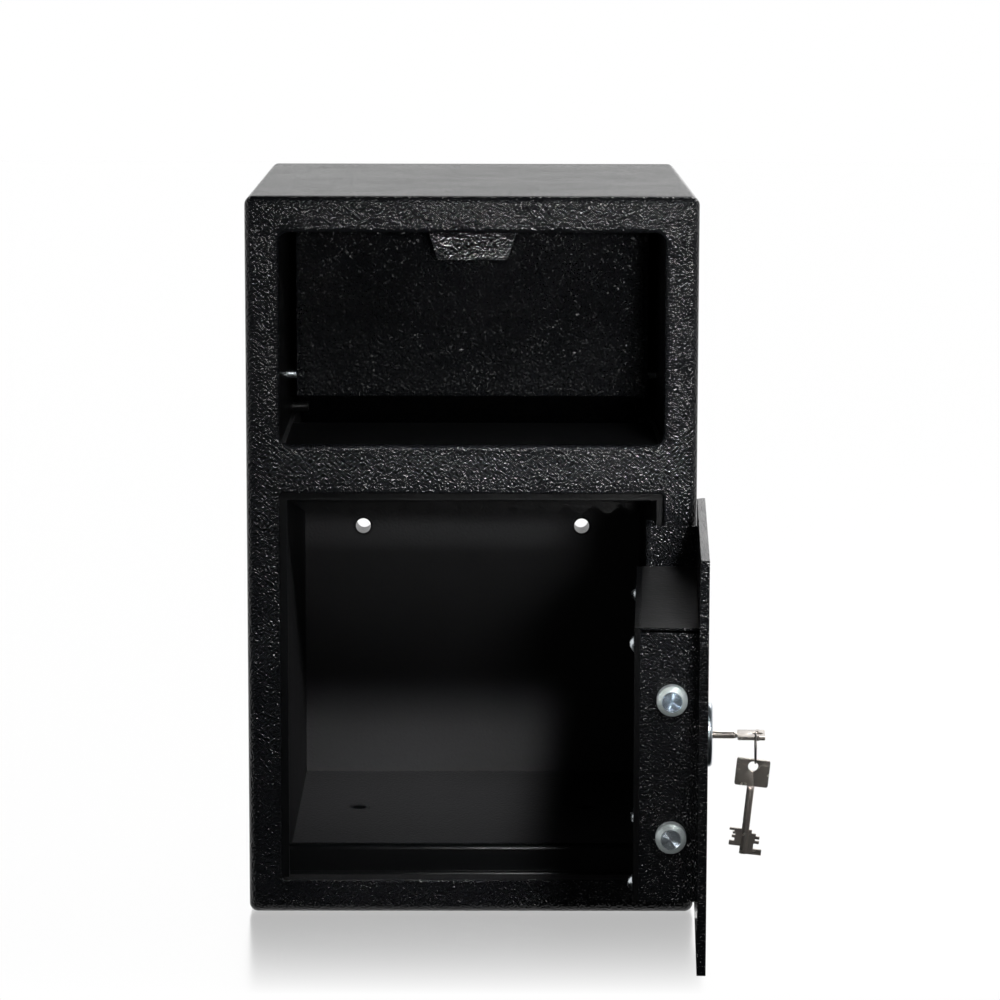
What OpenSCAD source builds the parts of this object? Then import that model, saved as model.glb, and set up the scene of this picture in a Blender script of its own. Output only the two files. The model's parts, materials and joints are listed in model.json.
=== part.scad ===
// Deposit safe with a drop hopper above a hinged door, a key lock and two locking bolts.
// The origin is the middle of the base, on the floor. X runs to the right, Y into the safe, Z up.
// The lengths called y below are counted from the front face, and in_body() puts them in place.

/* [Body] */
// Width of the body
body_w = 350; // [330:5:400]
// Height of the body
body_h = 565; // [545:5:640]
// Depth of the body
body_d = 385; // [370:5:440]
// Thickness of the outer sheet
shell_t = 3; // [2:0.5:4]
// Thickness of the inner sheet
liner_t = 2; // [1.5:0.5:2.5]
// Radius of the body's outer edges
edge_r = 7; // [5:0.5:9]
// Side wall, from the outside to the inner face
side_wall = 29.5; // [29:0.5:33]
// Back wall, from the outside to the inner face
back_wall = 33; // [28:1:40]
// Floor, from the ground to the inner face
floor_wall = 34; // [32:1:38]
// Ceiling, from the outside to the inner face
ceiling_wall = 28; // [28:1:34]

/* [Front frame] */
// Width of the stiles beside the openings
stile_w = 26; // [25:0.5:28]
// Height of the rail above the window
top_rail = 28; // [24:1:29]
// Height of the rail between the window and the door
mid_rail = 37.5; // [34:0.5:44]
// Height of the rail under the door
bottom_rail = 27; // [25:1:30]
// Height of the door opening
opening_h = 307.5; // [300:0.5:315]
// Depth of the flanges turned in around the openings
jamb_d = 7.5; // [7:0.5:9]
// Corner radius of the window
window_r = 8; // [6:0.5:12]
// Rolled edge of the window
window_roll = 3.5; // [2:0.5:5]
// Corner radius of the door opening
opening_r = 2.5; // [2:0.5:4]
// Rolled edge of the door opening
opening_roll = 2; // [1:0.5:2.5]
// How far the door stop reaches past the edge of the opening
stop_w = 5.4; // [5:0.1:5.6]
// How far the door stop hangs below the top of the opening
stop_drop = 6.3; // [5:0.1:8]
// Depth of the ledge in front of the sill
ledge_d = 18; // [16:1:22]
// Height of the sill above the ledge
sill_rise = 23; // [18:1:26]
// Depth of the sill
sill_d = 12; // [10:1:14]

/* [Anchor holes] */
// Bore of the anchor holes in the floor
floor_hole_d = 12; // [10:1:14]
// Bore of the anchor holes in the back
back_hole_d = 13; // [10:1:14]
// Distance between two anchor holes
anchor_pitch = 190; // [160:10:220]
// Distance from the front to the floor's holes
floor_hole_y = 216; // [200:2:250]
// Height of the holes in the back
back_hole_z = 252.5; // [230:2.5:280]

/* [Door] */
// Angle at which the door stands open
door_open = 87.3; // [0:0.1:100]
// Thickness of the door plate
door_t = 6.5; // [5.5:0.5:6.5]
// Gap beside the door
door_gap = 4; // [3.5:0.5:5]
// Gap under the door
door_gap_low = 4.5; // [3.5:0.5:5.5]
// Gap above the door
door_gap_high = 3; // [2.5:0.5:4]
// Distance of the hinge axis from the door's edge
hinge_out = 18; // [17.5:0.1:18.2]
// Depth of the hinge axis behind the front face
hinge_y = 19; // [18.8:0.1:19.2]
// Diameter of the hinge pins
hinge_pin_d = 8; // [6:1:9]
// Thickness of the hinge arm
arm_t = 3.5; // [3:0.5:4]
// Distance from the hinge edge of the door to the arm
arm_in = 10; // [9:0.5:11]
// Height of the hinge arm
arm_h = 256; // [230:2:260]
// Thickness of the lugs that hold the hinge pins
lug_t = 6; // [5:1:8]

/* [Bolt work] */
// Distance of the latch plate from the door's free edge
latch_in = 23; // [20:1:28]
// Height of the bolt work's box
box_h = 196; // [190:2:210]
// Depth of the bolt work's box
box_d = 42; // [40:0.5:44]
// Sheet of the latch plate
latch_t = 2.5; // [2:0.5:3]
// Sheet of the cover
cover_t = 4; // [2:0.5:5]
// Gap between the latch plate and the top plate
top_slot = 1.7; // [1:0.1:2.5]
// Diameter of the locking bolts
bolt_d = 22; // [18:1:24]
// Length of the locking bolts
bolt_len = 102; // [98:2:106]
// How far the drawn-in bolts stand out of the latch plate
bolt_out = 10; // [8:1:12]
// Bevel at the end of a bolt
bolt_bevel = 3.5; // [2:0.5:4]
// Distance between the bolts' axes
bolt_pitch = 100; // [96:2:110]
// Distance from the door's inner face to the bolts' axes
bolt_deep = 19; // [18:0.5:20]
// Distance between the cover screws, along the door
screw_pitch_x = 202; // [190:2:206]
// Distance from the box's edges to the cover screws
screw_margin = 10.5; // [9:0.5:14]
// Head diameter of the cover screws
screw_head_d = 12; // [9:1:13]

/* [Lock] */
// Height of the lock above the base
lock_z = 177.5; // [175:0.5:180]
// Distance of the keyhole from the middle of the door
lock_off = 8; // [4:1:12]
// Width of the lock case
case_w = 60; // [56:2:64]
// Height of the lock case
case_h = 70; // [66:2:74]
// Number of teeth of the drive gear
gear_teeth = 14; // [14:1:14]
// Module of the drive gear and its rack
gear_module = 2; // [2:0.5:2]
// Diameter of the escutcheon
plate_d = 47.5; // [40:0.5:56]
// Thickness of the escutcheon
plate_t = 5; // [4:0.5:6]

/* [Keys] */
// Width of a key's bow
bow_w = 24.8; // [20:0.2:25]
// Length of a key's bow
bow_len = 20.4; // [18:0.2:21]
// Thickness of a key's bow
bow_t = 2.6; // [2:0.2:3]
// Diameter of a key's shaft
shaft_d = 5.6; // [5:0.2:6]
// Length of the shaft, from the bow to the tip
shaft_len = 51.6; // [51:0.1:51.8]
// Length of shaft that stands out of the door
shaft_out = 23.6; // [23.4:0.1:24]
// Diameter of the hole in the bow
bow_hole_d = 7.6; // [7.4:0.2:8]
// Outer diameter of the key ring
ring_d = 24; // [23.5:0.5:26]
// Diameter of the ring's wire
ring_wire = 1.4; // [1.2:0.1:1.6]
// Tilt of the spare key
spare_tilt = 6; // [0:1:8]

/* [Hopper] */
// Depth of the hopper's front panel behind the front face
hopper_y = 141; // [130:1:148]
// Height of the pivot above the recess floor
pivot_rise = 39.5; // [36:0.5:44]
// Distance of the pivot behind the front panel
pivot_back = 9; // [8:0.5:10]
// Gap between the hopper and each side wall
hopper_gap = 7; // [5:0.5:9]
// Sheet of the hopper
hopper_t = 2; // [1.5:0.5:2.5]
// Diameter of the hopper's pivot pins
pivot_d = 5.6; // [5:0.1:6]
// Slope of the hopper's back plate when closed
chute_slope = 20; // [15:1:25]
// Length of the hopper's back plate
chute_len = 148; // [130:1:150]
// Width of the pull lip at its root
lip_w = 75; // [60:1:90]
// Height of the pull lip
lip_h = 30; // [24:1:34]
// How far the pull lip stands forward
lip_out = 13; // [11:1:18]
// Number of teeth on the comb under the recess
comb_teeth = 13; // [9:2:15]
// Distance between two teeth
comb_pitch = 22; // [18:1:24]
// Height of the comb's teeth
comb_tooth_h = 8; // [5:1:12]
// Drop of the comb below the recess floor
comb_drop = 75; // [50:5:90]

/* [Hidden] */

coat = [0.12, 0.12, 0.13];
coat_light = [0.2, 0.2, 0.21];
inside_coat = [0.24, 0.24, 0.25];
zinc = [0.72, 0.76, 0.8];
nickel = [0.75, 0.74, 0.72];
steel = [0.5, 0.5, 0.52];

eps = 0.01;
fine = 96;
run_gap = 0.08;
play = 0.3;

// Inner faces of the body
inner_x = body_w / 2 - side_wall;
inner_y = body_d - back_wall;
inner_z = body_h - ceiling_wall;
skin_x = body_w / 2 - shell_t;

// Front frame
open_x = body_w / 2 - stile_w;
open_z0 = bottom_rail;
open_z1 = bottom_rail + opening_h;
window_z0 = open_z1 + mid_rail;
window_z1 = body_h - top_rail;
stop_x = open_x - stop_w;
stop_y = jamb_d + shell_t;
stop_top = open_z1 - stop_drop;
sill_z = open_z0 + sill_rise;

// Door, as it lies when closed
door_x = open_x - door_gap;
door_z0 = open_z0 + door_gap_low;
door_z1 = open_z1 - door_gap_high;
door_edge_cut = 3.5;
hinge_x = door_x + hinge_out;

// Hinge arm, pins and pocket
arm_x = door_x - arm_in;
arm_back = 23.3;
arm_y = hinge_y + arm_back + arm_t;
arm_r = arm_t + 1;
arm_z0 = (door_z0 + door_z1) / 2 - arm_h / 2 + 1.5;
arm_z1 = arm_z0 + arm_h;
washer_t = 1;
washer_r = hinge_pin_d / 2 + 3.5;
lug_low_z = arm_z0 - play - washer_t;
lug_high_z = arm_z1 + play + washer_t;
knuckle_r = hinge_pin_d / 2 + 3.5;
knuckle_h = 32;
pin_engage = 16;
pin_head_h = 2;
pin_head_r = hinge_pin_d / 2 + 2;
pocket_y = arm_y + 4.2;

// Bolt work
latch_x = -door_x + latch_in;
box_y = door_t + box_d;
box_z0 = lock_z - box_h / 2;
box_z1 = lock_z + box_h / 2;
box_sheet = 2;
bolt_y = door_t + bolt_deep;
bolt_r = bolt_d / 2;
bolt_x = latch_x - bolt_out;
bolt_z = [lock_z - bolt_pitch / 2, lock_z + bolt_pitch / 2];
screw_x0 = latch_x + 12;
screw_x = [screw_x0, screw_x0 + screw_pitch_x];
screw_z = [box_z0 + screw_margin + 0.5, box_z1 - screw_margin + 0.5];
screw_head_h = 4;
screw_shank_d = 5;
post_r = 4.5;
guide_in = 18;
guide_x = bolt_x + bolt_len - guide_in;
guide_t = 3;
guide_half = bolt_r + 3;

// Drive: the gear's pitch circle rolls on the rack's pitch line
gear_r = gear_teeth * gear_module / 2;
gear_root = gear_r - 1.25 * gear_module;
gear_tip = gear_r + 0.85 * gear_module;
pressure = 20;
gear_base = gear_r * cos(pressure);
backlash = 0.35;
throw = PI / 2 * gear_r;
lock_x = -lock_off;
gear_t = 3;
gear_pitch = PI * gear_module;
bar_seat = 1;
bar_w = 12;
bar_t = 4;
bar_in = 60;
bar_x = bolt_x + bolt_len - bar_in;
bar_y = bolt_y + bolt_r - bar_seat;
bar_screw_r = 2.5;
gear_y = bar_y;
rack_z = lock_z + gear_r;
rack_h = 8;
rack_teeth = [-2 : 1 + floor(throw / gear_pitch)];
rack_end = lock_x + throw + 1.5 * gear_pitch;

// Lock case and keyhole
case_wall = 1.5;
case_y = gear_y - 2.5;
keyhole_gap = 0.1;
bit_r = 13.4;
bit_t = 2.4;
keyhole_w = bit_t + 0.8;
keyhole_r = bit_r + 2;
hub_r = 6;
hub_disc_t = 1.9;
hub_y = case_y - case_wall - play;
lever_t = 2;
lever_count = 5;
lever_clear = bit_r + 2.6;
lever_end_r = 6.5;
lever_rise = 28;
lever_x = lock_x + case_w / 2 - case_wall - lever_end_r - 2;
lever_z = lock_z - case_h / 2 + case_wall + lever_end_r + 1;
post_d = 5;

// Keys
hole_in = 5.4;
key_out = bow_len + shaft_out;
key_hole_y = -(key_out - hole_in);
ring_r = (ring_d - ring_wire) / 2;
ring_side = 8;
ring_fall = sqrt(ring_r * ring_r - ring_side * ring_side);
ring_x = lock_x - ring_side;
ring_z = lock_z - ring_fall;
ring_in = 1.6;
ring_y = key_hole_y + ring_in;
wire_side = 1.6;
wire_up = 2.5;
// Steps of the bits: start and end from the tip, and how far each is cut back
bits_a = [[0, 4.2, 0], [4.2, 8.4, 6.4], [8.4, 10.5, 2.4], [10.5, 11.8, 5.6], [11.8, 13.9, 2.4],
          [13.9, 15.8, 5.2], [15.8, 18.3, 8.5]];
bits_b = [[5.6, 9, 2.2], [9, 11.3, 6], [11.3, 13.3, 3.8], [13.3, 14.3, 6.3], [14.3, 15.9, 4.3],
          [15.9, 16.9, 5.4], [16.9, 18.6, 1.6]];
flat_len = 3.4;

// Hopper
recess_z = window_z0 - 1.5;
recess_t = 2.5;
pivot_y = hopper_y + pivot_back;
pivot_z = recess_z + pivot_rise;
pivot_r = pivot_d / 2;
collar_r = pivot_r + 0.9;
clip_t = 1.2;
panel_x = open_x - hopper_gap;
panel_z0 = pivot_z - 17;
// The lip's front edge just clears the ceiling as the hopper turns
ceiling_gap = 0.6;
lip_reach = inner_z - ceiling_gap - pivot_z;
panel_z1 = pivot_z + sqrt(lip_reach * lip_reach - pow(pivot_back + lip_out, 2));
chute_y = hopper_y + hopper_t;
chute_z = pivot_z - 8;
cheek_r = panel_z1 - pivot_z - 3;
comb_y = hopper_y + 2.5;
comb_z = recess_z - comb_drop;
lip_lean = 14;
lip_taper = 20;
lip_corner = 4;
stud_r = 4;
stud_under = 5;
stud_reach = 60;

// Frames of reference
module in_body() translate([0, -body_d / 2, 0]) children();
module in_door() in_body() translate([hinge_x, hinge_y, 0]) rotate([0, 0, door_open])
  translate([-hinge_x, -hinge_y, 0]) children();
module at_pivot(x = 0) translate([x, pivot_y, pivot_z]) children();

// An outline in X and Z, made into a plate between two depths
module slab(y0, y1) translate([0, y1, 0]) rotate([90, 0, 0]) linear_extrude(y1 - y0) children();
// An outline in Y and Z, made into a plate between two widths
module across(x0, x1) translate([x0, 0, 0]) rotate([90, 0, 90]) linear_extrude(x1 - x0) children();
// A round bar along X or Y
module rod_x(r, x0, x1) translate([x0, 0, 0]) rotate([0, 90, 0]) cylinder(h = x1 - x0, r = r, $fn = fine);
module rod_y(r, y0, y1) translate([0, y1, 0]) rotate([90, 0, 0]) cylinder(h = y1 - y0, r = r, $fn = fine);
// An outline between two corners, and one with round corners
module pane(x0, z0, x1, z1) translate([x0, z0]) square([x1 - x0, z1 - z0]);
module round_pane(x0, z0, x1, z1, r) {
  pane(x0 + r, z0, x1 - r, z1);
  pane(x0, z0 + r, x1, z1 - r);
  for (x = [x0 + r, x1 - r], z = [z0 + r, z1 - r]) translate([x, z]) circle(r, $fn = fine);
}
module block(x0, y0, z0, x1, y1, z1) translate([x0, y0, z0]) cube([x1 - x0, y1 - y0, z1 - z0]);

// Box with rounded long edges and a rounded front, as the folded sheet has
module folded_form(x, z0, z1, y0, y1, r) {
  hull() for (cx = [-x + r, x - r], cz = [z0 + r, z1 - r]) translate([cx, y0 + r, cz]) {
    rotate([90, 0, 0]) rotate_extrude($fn = 32) intersection() {
      circle(r, $fn = 32);
      square(r);
    }
    rotate([-90, 0, 0]) cylinder(h = y1 - y0 - r, r = r, $fn = 32);
  }
}

// What a rolled edge leaves away around an opening, in plan on the front face
module roll_profile(roll) difference() {
  translate([-1, -roll]) square([roll + 1, roll + 1]);
  translate([roll, -roll]) circle(roll, $fn = 48);
}
module roll_cut(x0, z0, x1, z1, r, roll) rotate([90, 0, 0]) {
  corners = [[x1 - r, z1 - r, 0], [x0 + r, z1 - r, 90], [x0 + r, z0 + r, 180], [x1 - r, z0 + r, 270]];
  for (c = corners) translate([c[0], c[1], 0]) rotate([0, 0, c[2]])
    rotate_extrude(angle = 90, $fn = fine) translate([r, 0]) roll_profile(roll);
  for (s = [[x1, z0 + r, 0, z1 - z0], [x1 - r, z1, 90, x1 - x0], [x0, z1 - r, 180, z1 - z0],
            [x0 + r, z0, 270, x1 - x0]])
    translate([s[0], s[1], 0]) rotate([0, 0, s[2]]) rotate([-90, 0, 0]) mirror([0, 1, 0])
      linear_extrude(s[3] - 2 * r) roll_profile(roll);
}

// Outer shell: one folded sleeve whose front is the frame around the window and the door
module outer_shell() color(coat) in_body() {
  difference() {
    union() {
      difference() {
        folded_form(body_w / 2, 0, body_h, 0, body_d, edge_r);
        folded_form(skin_x, shell_t, body_h - shell_t, shell_t, body_d + 1, edge_r - shell_t);
      }
      slab(shell_t, jamb_d) difference() {
        round_pane(-open_x - shell_t, window_z0 - shell_t, open_x + shell_t, window_z1 + shell_t,
                   window_r + shell_t);
        pane(-open_x, window_z0, open_x, window_z1);
      }
      slab(shell_t, jamb_d)
        pane(-open_x - shell_t, open_z0 - shell_t, open_x + shell_t, open_z1 + shell_t);
      block(-open_x, jamb_d, open_z0 - shell_t, open_x, ledge_d + shell_t, open_z0);
    }
    slab(-1, jamb_d + eps) round_pane(-open_x, window_z0, open_x, window_z1, window_r);
    slab(-1, jamb_d + eps) round_pane(-open_x, open_z0, open_x, open_z1, opening_r);
    roll_cut(-open_x, window_z0, open_x, window_z1, window_r, window_roll);
    roll_cut(-open_x, open_z0, open_x, open_z1, opening_r, opening_roll);
    for (x = [-1, 1]) translate([x * anchor_pitch / 2, floor_hole_y, -1])
      cylinder(h = shell_t + 2, d = floor_hole_d + 4, $fn = fine);
  }
}

// Outer back, set into the sleeve
module back_panel() color(coat) in_body() slab(body_d - shell_t, body_d) difference() {
  round_pane(-skin_x, shell_t, skin_x, body_h - shell_t, edge_r - shell_t);
  for (x = [-1, 1]) translate([x * anchor_pitch / 2, back_hole_z]) circle(d = back_hole_d + 4, $fn = fine);
}

// Strip behind the frame that the closed door meets
module door_stop() color(coat) in_body() slab(jamb_d, stop_y) difference() {
  pane(-open_x - shell_t, open_z0, open_x + shell_t, open_z1 + shell_t);
  pane(-stop_x, open_z0 - 1, stop_x, stop_top);
}

// Raised sill behind the ledge, folded from sheet, with its weld along the foot
module door_sill() color(coat) in_body() {
  across(-inner_x, inner_x) difference() {
    union() {
      round_pane(ledge_d, floor_wall, ledge_d + sill_d, sill_z, 3.5);
      pane(ledge_d, open_z0, ledge_d + latch_t, sill_z - 4);
      pane(ledge_d + sill_d - latch_t, floor_wall, ledge_d + sill_d, sill_z - 4);
    }
    pane(ledge_d + latch_t, open_z0 - 1, ledge_d + sill_d - latch_t, sill_z - latch_t);
  }
  across(-stop_x, stop_x) intersection() {
    translate([ledge_d, open_z0]) circle(2.7, $fn = 48);
    pane(ledge_d - 3, open_z0, ledge_d, open_z0 + 3);
  }
}

// Side of the room: a plate behind the stop whose top edge turns out under the side of the recess
module liner_side() {
  across(inner_x, inner_x + liner_t) difference() {
    pane(stop_y, open_z0, inner_y, recess_z);
    children();
  }
  block(inner_x + liner_t, jamb_d, recess_z - liner_t, open_x + liner_t, inner_y, recess_z);
  block(inner_x, jamb_d, recess_z - liner_t, inner_x + liner_t, stop_y, recess_z);
}
module liner_left() color(inside_coat) in_body() mirror([1, 0, 0]) liner_side()
  for (z = bolt_z) translate([bolt_y, z]) circle(bolt_r + 1, $fn = fine);
module liner_right() color(inside_coat) in_body() liner_side()
  pane(stop_y - 1, lug_low_z - lug_t, pocket_y + liner_t, lug_high_z + lug_t);

// Side of the recess and of the space behind it, in line with the window's edge
module recess_side() across(open_x, open_x + liner_t) difference() {
  pane(jamb_d, recess_z, inner_y, inner_z + liner_t);
  translate([pivot_y, pivot_z]) circle(pivot_r, $fn = fine);
}
module recess_side_left() color(inside_coat) in_body() mirror([1, 0, 0]) recess_side();
module recess_side_right() color(inside_coat) in_body() recess_side();

module liner_back() color(inside_coat) in_body() slab(inner_y, inner_y + liner_t) difference() {
  union() {
    pane(-inner_x - liner_t, open_z0, inner_x + liner_t, recess_z - liner_t);
    pane(-open_x - liner_t, recess_z - liner_t, open_x + liner_t, inner_z + liner_t);
  }
  for (x = [-1, 1]) translate([x * anchor_pitch / 2, back_hole_z]) circle(d = back_hole_d + 4, $fn = fine);
}

module liner_floor() color(inside_coat) in_body() difference() {
  block(-inner_x, ledge_d + latch_t, floor_wall - liner_t, inner_x, inner_y, floor_wall);
  for (x = [-1, 1]) translate([x * anchor_pitch / 2, floor_hole_y, floor_wall - liner_t - 1])
    cylinder(h = liner_t + 2, d = floor_hole_d + 4, $fn = fine);
}

module liner_ceiling() color(inside_coat) in_body()
  block(-open_x, jamb_d, inner_z, open_x, inner_y, inner_z + liner_t);

// Floor of the recess, whose rear edge turns down into a toothed comb against fishing
module recess_floor() color(inside_coat) in_body() {
  block(-inner_x, jamb_d, recess_z - recess_t, inner_x, comb_y + recess_t, recess_z);
  slab(comb_y, comb_y + recess_t) {
    pane(-inner_x, comb_z + comb_tooth_h, inner_x, recess_z - recess_t + eps);
    for (i = [0 : comb_teeth - 1]) translate([(i - (comb_teeth - 1) / 2) * comb_pitch, comb_z])
      polygon([[0, 0], [comb_pitch / 2, comb_tooth_h + eps], [-comb_pitch / 2, comb_tooth_h + eps]]);
  }
}

// Lugs in the side wall, one above and one below the hinge arm
module hinge_lugs() color(steel) in_body()
  for (z = [lug_low_z - lug_t, lug_high_z]) difference() {
    block(inner_x, stop_y, z, skin_x, pocket_y, z + lug_t);
    translate([hinge_x, hinge_y, z - 1]) cylinder(h = lug_t + 2, d = hinge_pin_d, $fn = fine);
  }

// Sheet that closes the hinge pocket towards the wall's cavity
module pocket_wall() color(inside_coat) in_body()
  block(inner_x, pocket_y, lug_low_z - lug_t, skin_x, pocket_y + liner_t, lug_high_z + lug_t);

module hinge_pins() color(zinc) in_body() translate([hinge_x, hinge_y, 0]) {
  translate([0, 0, arm_z1 - pin_engage])
    cylinder(h = lug_high_z + lug_t - arm_z1 + pin_engage, d = hinge_pin_d, $fn = fine);
  translate([0, 0, lug_high_z + lug_t]) cylinder(h = pin_head_h, r = pin_head_r, $fn = fine);
  translate([0, 0, lug_low_z - lug_t])
    cylinder(h = arm_z0 + pin_engage - lug_low_z + lug_t, d = hinge_pin_d, $fn = fine);
  translate([0, 0, lug_low_z - lug_t - pin_head_h]) cylinder(h = pin_head_h, r = pin_head_r, $fn = fine);
}

module hinge_washers() color(zinc) in_body() translate([hinge_x, hinge_y, 0])
  for (z = [lug_low_z, lug_high_z - washer_t]) translate([0, 0, z]) linear_extrude(washer_t) difference() {
    circle(washer_r, $fn = fine);
    circle(d = hinge_pin_d, $fn = fine);
  }

// Sleeves that line the anchor holes through both skins
module back_sleeves() color(steel) in_body() slab(inner_y, body_d)
  for (x = [-1, 1]) translate([x * anchor_pitch / 2, back_hole_z]) difference() {
    circle(d = back_hole_d + 4, $fn = fine);
    circle(d = back_hole_d, $fn = fine);
  }

module floor_sleeves() color(steel) in_body()
  for (x = [-1, 1]) translate([x * anchor_pitch / 2, floor_hole_y, 0]) linear_extrude(floor_wall) difference() {
    circle(d = floor_hole_d + 4, $fn = fine);
    circle(d = floor_hole_d, $fn = fine);
  }

// Hopper: it turns on two pins just behind the foot of its front panel
module chute_line() translate([chute_y, chute_z]) rotate(-chute_slope) children();

module hopper_panel() color(coat_light) in_body() slab(hopper_y, hopper_y + hopper_t)
  pane(-panel_x, panel_z0, panel_x, panel_z1);

module hopper_cheek(x0) across(x0, x0 + hopper_t) difference() {
  union() {
    intersection() {
      translate([pivot_y, pivot_z]) circle(cheek_r, $fn = fine);
      pane(chute_y, chute_z - chute_len, chute_y + chute_len, panel_z1);
      chute_line() pane(-chute_len, 0, chute_len + 10, 2 * chute_len);
    }
    pane(chute_y, panel_z0, chute_y + 2 * pivot_back, chute_z + 4);
  }
  translate([pivot_y, pivot_z]) circle(pivot_r + run_gap, $fn = fine);
}
module hopper_cheek_left() color(coat_light) in_body() hopper_cheek(-panel_x);
module hopper_cheek_right() color(coat_light) in_body() hopper_cheek(panel_x - hopper_t);

// Back plate of the hopper, which slopes down to the rear when the hopper is closed
module hopper_chute() color(coat_light) in_body() across(-panel_x + hopper_t, panel_x - hopper_t)
  intersection() {
    chute_line() pane(-5, 0, chute_len, hopper_t);
    pane(chute_y, 0, inner_y, inner_z);
  }

// Lip at the top of the panel: forward, then down with a lean towards the hand
module lip_profile() {
  front = hopper_y - lip_out;
  bend = hopper_t * (1 - sin(lip_lean)) / cos(lip_lean);
  foot_y = front - lip_h * sin(lip_lean);
  foot_z = panel_z1 - lip_h * cos(lip_lean);
  polygon([[hopper_y, panel_z1], [front, panel_z1], [foot_y, foot_z],
           [foot_y + hopper_t * cos(lip_lean), foot_z - hopper_t * sin(lip_lean)],
           [front + bend, panel_z1 - hopper_t], [hopper_y, panel_z1 - hopper_t]]);
}
// Seen from the front it narrows downwards, with two round corners
module lip_outline() {
  drop = lip_h * cos(lip_lean) + hopper_t * sin(lip_lean);
  foot = lip_w / 2 - drop * tan(lip_taper);
  turn = lip_corner * tan(45 + lip_taper / 2) - lip_corner;
  hull() {
    translate([-lip_w / 2, 0]) square([lip_w, 1]);
    for (s = [-1, 1]) translate([s * (foot - turn), lip_corner - drop]) circle(lip_corner, $fn = 32);
  }
}
module pull_lip() color(coat) in_body() intersection() {
  across(-lip_w, lip_w) lip_profile();
  slab(hopper_y - 2 * lip_h, hopper_y + 1) translate([0, panel_z1]) lip_outline();
}

// Pins riveted through the side walls, with a clip behind each cheek
module hopper_pins() color(zinc) in_body() for (s = [0, 1]) mirror([s, 0, 0]) at_pivot() {
  rod_x(pivot_r, panel_x - hopper_t - 5, open_x + liner_t);
  rod_x(pivot_r + 3, open_x + liner_t, open_x + liner_t + 2.5);
  rod_x(collar_r, panel_x + play, open_x);
}

module pin_clips() color(steel) in_body() for (s = [0, 1]) mirror([s, 0, 0]) at_pivot() difference() {
  rod_x(pivot_r + 2.5, panel_x - hopper_t - play - clip_t, panel_x - hopper_t - play);
  rod_x(pivot_r, panel_x - hopper_t - play - 2 * clip_t, panel_x);
}

// Studs on the side walls that the closed hopper's back plate rests on
module hopper_stops() color(zinc) in_body() for (s = [0, 1]) mirror([s, 0, 0])
  across(panel_x - hopper_t - stud_under, open_x)
    chute_line() translate([stud_reach, -stud_r - play]) circle(stud_r, $fn = fine);

// Door plate, with its inner hinge edge cut back so that it clears the stile as it swings
module keyhole() {
  translate([lock_x, lock_z]) {
    circle(shaft_d / 2 + keyhole_gap, $fn = fine);
    pane(-keyhole_w / 2, -keyhole_r, keyhole_w / 2, keyhole_r);
  }
}
module door_plate() color(coat) in_door() difference() {
  translate([0, 0, door_z0]) linear_extrude(door_z1 - door_z0)
    polygon([[-door_x, 0], [door_x, 0], [door_x, door_t - door_edge_cut], [door_x - door_edge_cut, door_t],
             [-door_x, door_t]]);
  slab(-1, door_t + 1) keyhole();
}

// Hinge arm: a folded plate that reaches round the stop to the axis inside the wall
module hinge_arm() color(coat) in_door() translate([0, 0, arm_z0]) linear_extrude(arm_h) difference() {
  union() {
    pane(arm_x, door_t, arm_x + arm_t, arm_y - arm_r);
    pane(arm_x + arm_r, arm_y - arm_t, hinge_x + arm_t / 2, arm_y);
    pane(hinge_x - arm_t / 2, hinge_y, hinge_x + arm_t / 2, arm_y);
    intersection() {
      translate([arm_x + arm_r, arm_y - arm_r]) difference() {
        circle(arm_r, $fn = fine);
        circle(arm_r - arm_t, $fn = fine);
      }
      pane(arm_x, arm_y - arm_r, arm_x + arm_r, arm_y);
    }
  }
  translate([hinge_x, hinge_y]) circle(knuckle_r, $fn = fine);
}

module hinge_knuckles() color(steel) in_door() translate([hinge_x, hinge_y, 0])
  for (z = [arm_z0, arm_z1 - knuckle_h]) translate([0, 0, z]) linear_extrude(knuckle_h) difference() {
    circle(knuckle_r, $fn = fine);
    circle(hinge_pin_d / 2 + run_gap, $fn = fine);
  }

// Box around the bolt work, on the inside of the door
module box_top() color(inside_coat) in_door()
  block(latch_x, door_t, box_z1 + top_slot, arm_x, box_y, box_z1 + top_slot + box_sheet);

module box_bottom() color(coat) in_door()
  block(latch_x + latch_t, door_t, box_z0, arm_x, box_y, box_z0 + box_sheet);

module latch_plate() color(coat) in_door() across(latch_x, latch_x + latch_t) difference() {
  pane(door_t, box_z0, box_y, box_z1);
  for (z = bolt_z) translate([bolt_y, z]) circle(bolt_r + run_gap, $fn = fine);
}

module bolt_cover() color(coat) in_door() slab(box_y, box_y + cover_t) difference() {
  pane(latch_x, box_z0, arm_x - 2, box_z1 + top_slot + box_sheet);
  for (x = screw_x, z = screw_z) translate([x, z]) circle(d = screw_shank_d, $fn = fine);
}

module cover_posts() color(steel) in_door() for (x = screw_x, z = screw_z) translate([x, 0, z]) difference() {
  rod_y(post_r, door_t, box_y);
  rod_y(screw_shank_d / 2, box_y - 12, box_y + 1);
}

module cover_screws() color(zinc) in_door() for (x = screw_x, z = screw_z) translate([x, 0, z]) {
  rod_y(screw_shank_d / 2, box_y - 10, box_y + cover_t);
  translate([0, box_y + cover_t, 0]) rotate([-90, 0, 0]) rotate_extrude($fn = fine) intersection() {
    translate([0, screw_head_h - cap_r()]) circle(cap_r(), $fn = fine);
    square([screw_head_d / 2, screw_head_h + 1]);
  }
}
// Radius of the dome whose rim is as wide as the screw's head
function cap_r() = (screw_head_h * screw_head_h + screw_head_d * screw_head_d / 4) / (2 * screw_head_h);

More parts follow.
